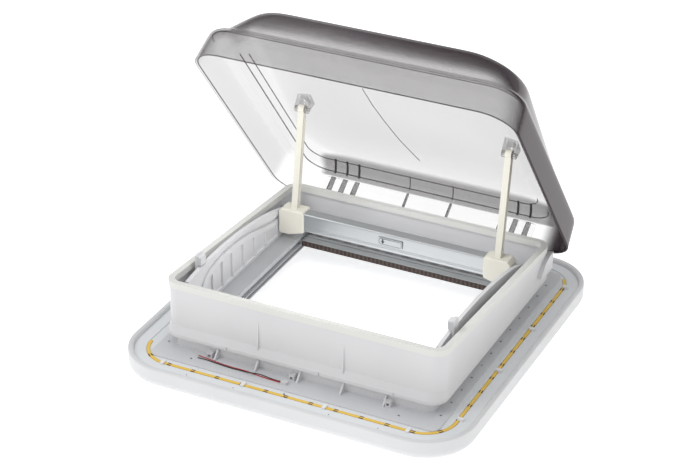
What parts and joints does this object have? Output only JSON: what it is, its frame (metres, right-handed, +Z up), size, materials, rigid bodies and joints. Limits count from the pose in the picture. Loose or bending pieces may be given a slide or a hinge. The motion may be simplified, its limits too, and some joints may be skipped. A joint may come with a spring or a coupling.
{
  "type": "roof vent cover",
  "caption": "Roof vent for a caravan: flanged frame, hinged clear dome on a stay bow, ceiling frame with a light strip, blackout blind and fly screen.",
  "frame": {"origin": "middle of the ceiling frame in plan, at its lowest face", "axes": "+X along the hinge, +Y towards the hinge side, +Z up out of the roof"},
  "size_m": [0.548, 0.56, 0.4731],
  "materials": {
    "white_frame": "satin",
    "light_panel": "satin",
    "led_strip": "glossy",
    "clip": "matte",
    "steel": "brushed",
    "gasket": "matte",
    "cream": "satin",
    "grey_plastic": "satin",
    "aluminium": "satin",
    "black_plastic": "matte",
    "tinted_acrylic": "glossy",
    "clear_plastic": "glossy",
    "brush": "matte",
    "pleat": "matte",
    "mesh": "matte",
    "wire_red": "satin",
    "wire_black": "satin"
  },
  "bodies": {
    "base": {"ceiling_frame": "white_frame", "light_panel": "light_panel", "led_strip_left": "led_strip", "led_strip_right": "led_strip", "led_clips": "clip", "clamp_screws": "steel", "screw_caps": "white_frame", "flange_neck": "white_frame", "drip_base": "white_frame", "collar": "white_frame", "rim_gasket": "gasket", "hinge_pin_left": "steel", "hinge_pin_right": "steel", "wire_grommet": "black_plastic", "wire_red": "wire_red", "wire_black": "wire_black", "guide_panel_left": "white_frame", "guide_panel_right": "white_frame", "catch_lug_left": "cream", "catch_lug_right": "cream", "cassette_rail_left": "grey_plastic", "cassette_rail_right": "grey_plastic", "cassette_cover_front": "grey_plastic", "cassette_cover_rear": "grey_plastic", "blackout_pleats": "pleat", "flyscreen_pleats": "mesh"},
    "lid": {"dome_outer": "tinted_acrylic", "dome_inner": "tinted_acrylic", "seal_frame": "clear_plastic", "hinge_hooks": "clear_plastic", "lid_bracket_left": "clear_plastic", "lid_bracket_right": "clear_plastic", "bracket_pin_left": "steel", "bracket_pin_right": "steel"},
    "bow": {"bow_arm_left": "cream", "bow_arm_right": "cream", "operating_bar": "aluminium", "button_spring": "steel"},
    "button": {"bar_button": "cream"},
    "bolt_left": {"lock_bolt_left": "steel"},
    "bolt_right": {"lock_bolt_right": "steel"},
    "blind": {"blackout_bar": "aluminium", "blackout_brush": "brush"},
    "screen": {"flyscreen_bar": "grey_plastic"}
  },
  "joints": [
    {"name": "lid_hinge", "type": "hinge", "parent": "base", "child": "lid", "pos_m": [0, 0.215, 0.09], "axis": [1, 0, 0], "range_deg": [0, 47.74]},
    {"name": "bow_pivot", "type": "hinge", "parent": "lid", "child": "bow", "pos_m": [0, 0.1412, 0.2722], "axis": [1, 0, 0], "range_deg": [-108.2, 0]},
    {"name": "button_press", "type": "slide", "parent": "bow", "child": "button", "axis": [0, 1, 0], "range_m": [0, 0.003], "stiffness_N_per_m": 300, "deforming": ["button_spring"]},
    {"name": "bolt_left_slide", "type": "slide", "parent": "bow", "child": "bolt_left", "axis": [1, 0, 0], "range_m": [0, 0.006]},
    {"name": "bolt_right_slide", "type": "slide", "parent": "bow", "child": "bolt_right", "axis": [-1, 0, 0], "range_m": [0, 0.006]},
    {"name": "blackout_slide", "type": "slide", "parent": "base", "child": "blind", "axis": [0, -1, 0], "range_m": [0, 0.29], "deforming": ["blackout_pleats"]},
    {"name": "flyscreen_slide", "type": "slide", "parent": "base", "child": "screen", "axis": [0, 1, 0], "range_m": [0, 0.29], "deforming": ["flyscreen_pleats"]}
  ],
  "couplings": [
    {"joint": "bow_pivot", "follows": "lid_hinge", "ratio": -2.266},
    {"joint": "bolt_left_slide", "follows": "button_press", "ratio": 2},
    {"joint": "bolt_right_slide", "follows": "button_press", "ratio": 2}
  ]
}
